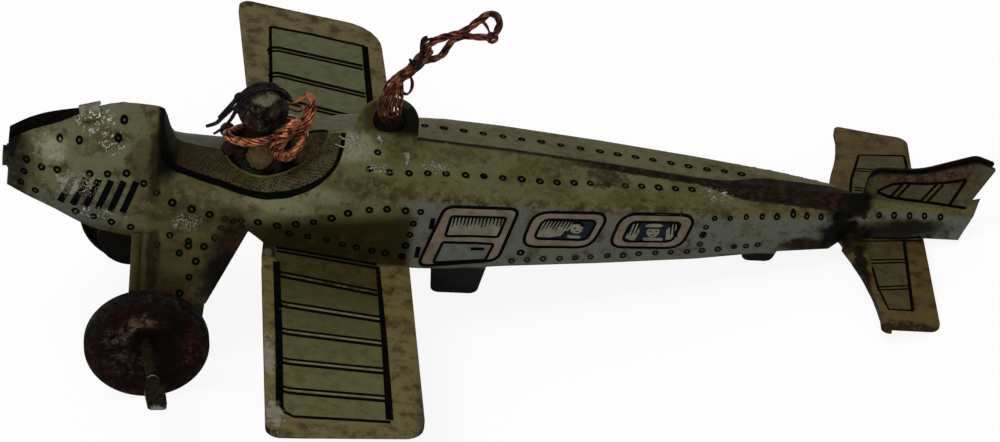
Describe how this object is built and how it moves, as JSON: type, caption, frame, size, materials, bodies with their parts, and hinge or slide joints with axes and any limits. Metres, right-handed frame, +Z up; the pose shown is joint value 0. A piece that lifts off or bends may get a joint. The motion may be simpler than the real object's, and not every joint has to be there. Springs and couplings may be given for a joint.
{
  "type": "tin penny toy airplane",
  "caption": "Small lithographed tin monoplane with an open cockpit and its pilot, two disc wheels on an axle, a lug on the roof and a twisted copper wire to hang it by.",
  "frame": {"origin": "centre of the bounding box in plan, on the plane that the wheels and the tailplane stand on", "axes": "+X from nose to tail, +Y to the toy's right-hand side, +Z up with the toy standing on its wheels and tail"},
  "size_m": [0.1199, 0.0902, 0.0407],
  "materials": {
    "litho_tin": "worn lithographed olive green with tan edges, satin",
    "litho_ink": "printed dark lines, rings and windows, satin",
    "axle_steel": "steel wire browned with rust",
    "wheel_paint": "dark maroon paint with a dusty face, worn",
    "pilot_tin": "dark paint worn pale on top",
    "copper_wire": "twisted strands of dull copper",
    "dark_wire": "thin blackened wire"
  },
  "bodies": {
    "airframe": {"left_half": "litho_tin", "right_half": "litho_tin", "pilot_left_shell": "pilot_tin", "pilot_right_shell": "pilot_tin", "neck_wire": "copper_wire", "head_wire": "dark_wire"},
    "axle": {"axle": "axle_steel"},
    "left_wheel": {"left_wheel": "wheel_paint"},
    "right_wheel": {"right_wheel": "wheel_paint"},
    "hanger": {"hanger_wire": "copper_wire"}
  },
  "joints": [
    {"name": "axle_spin", "type": "hinge", "parent": "airframe", "child": "axle", "pos_m": [-0.04507, 0, 0.0076], "axis": [0, 1, 0], "continuous": true},
    {"name": "left_wheel_spin", "type": "hinge", "parent": "axle", "child": "left_wheel", "pos_m": [-0.04507, -0.0139, 0.0076], "axis": [0, 1, 0], "continuous": true},
    {"name": "right_wheel_spin", "type": "hinge", "parent": "axle", "child": "right_wheel", "pos_m": [-0.04507, 0.0132, 0.0076], "axis": [0, 1, 0], "continuous": true},
    {"name": "hanger_swing", "type": "hinge", "parent": "airframe", "child": "hanger", "pos_m": [-0.01291, 0, 0.02746], "axis": [0, 1, 0], "range_deg": [-60, 45]}
  ]
}
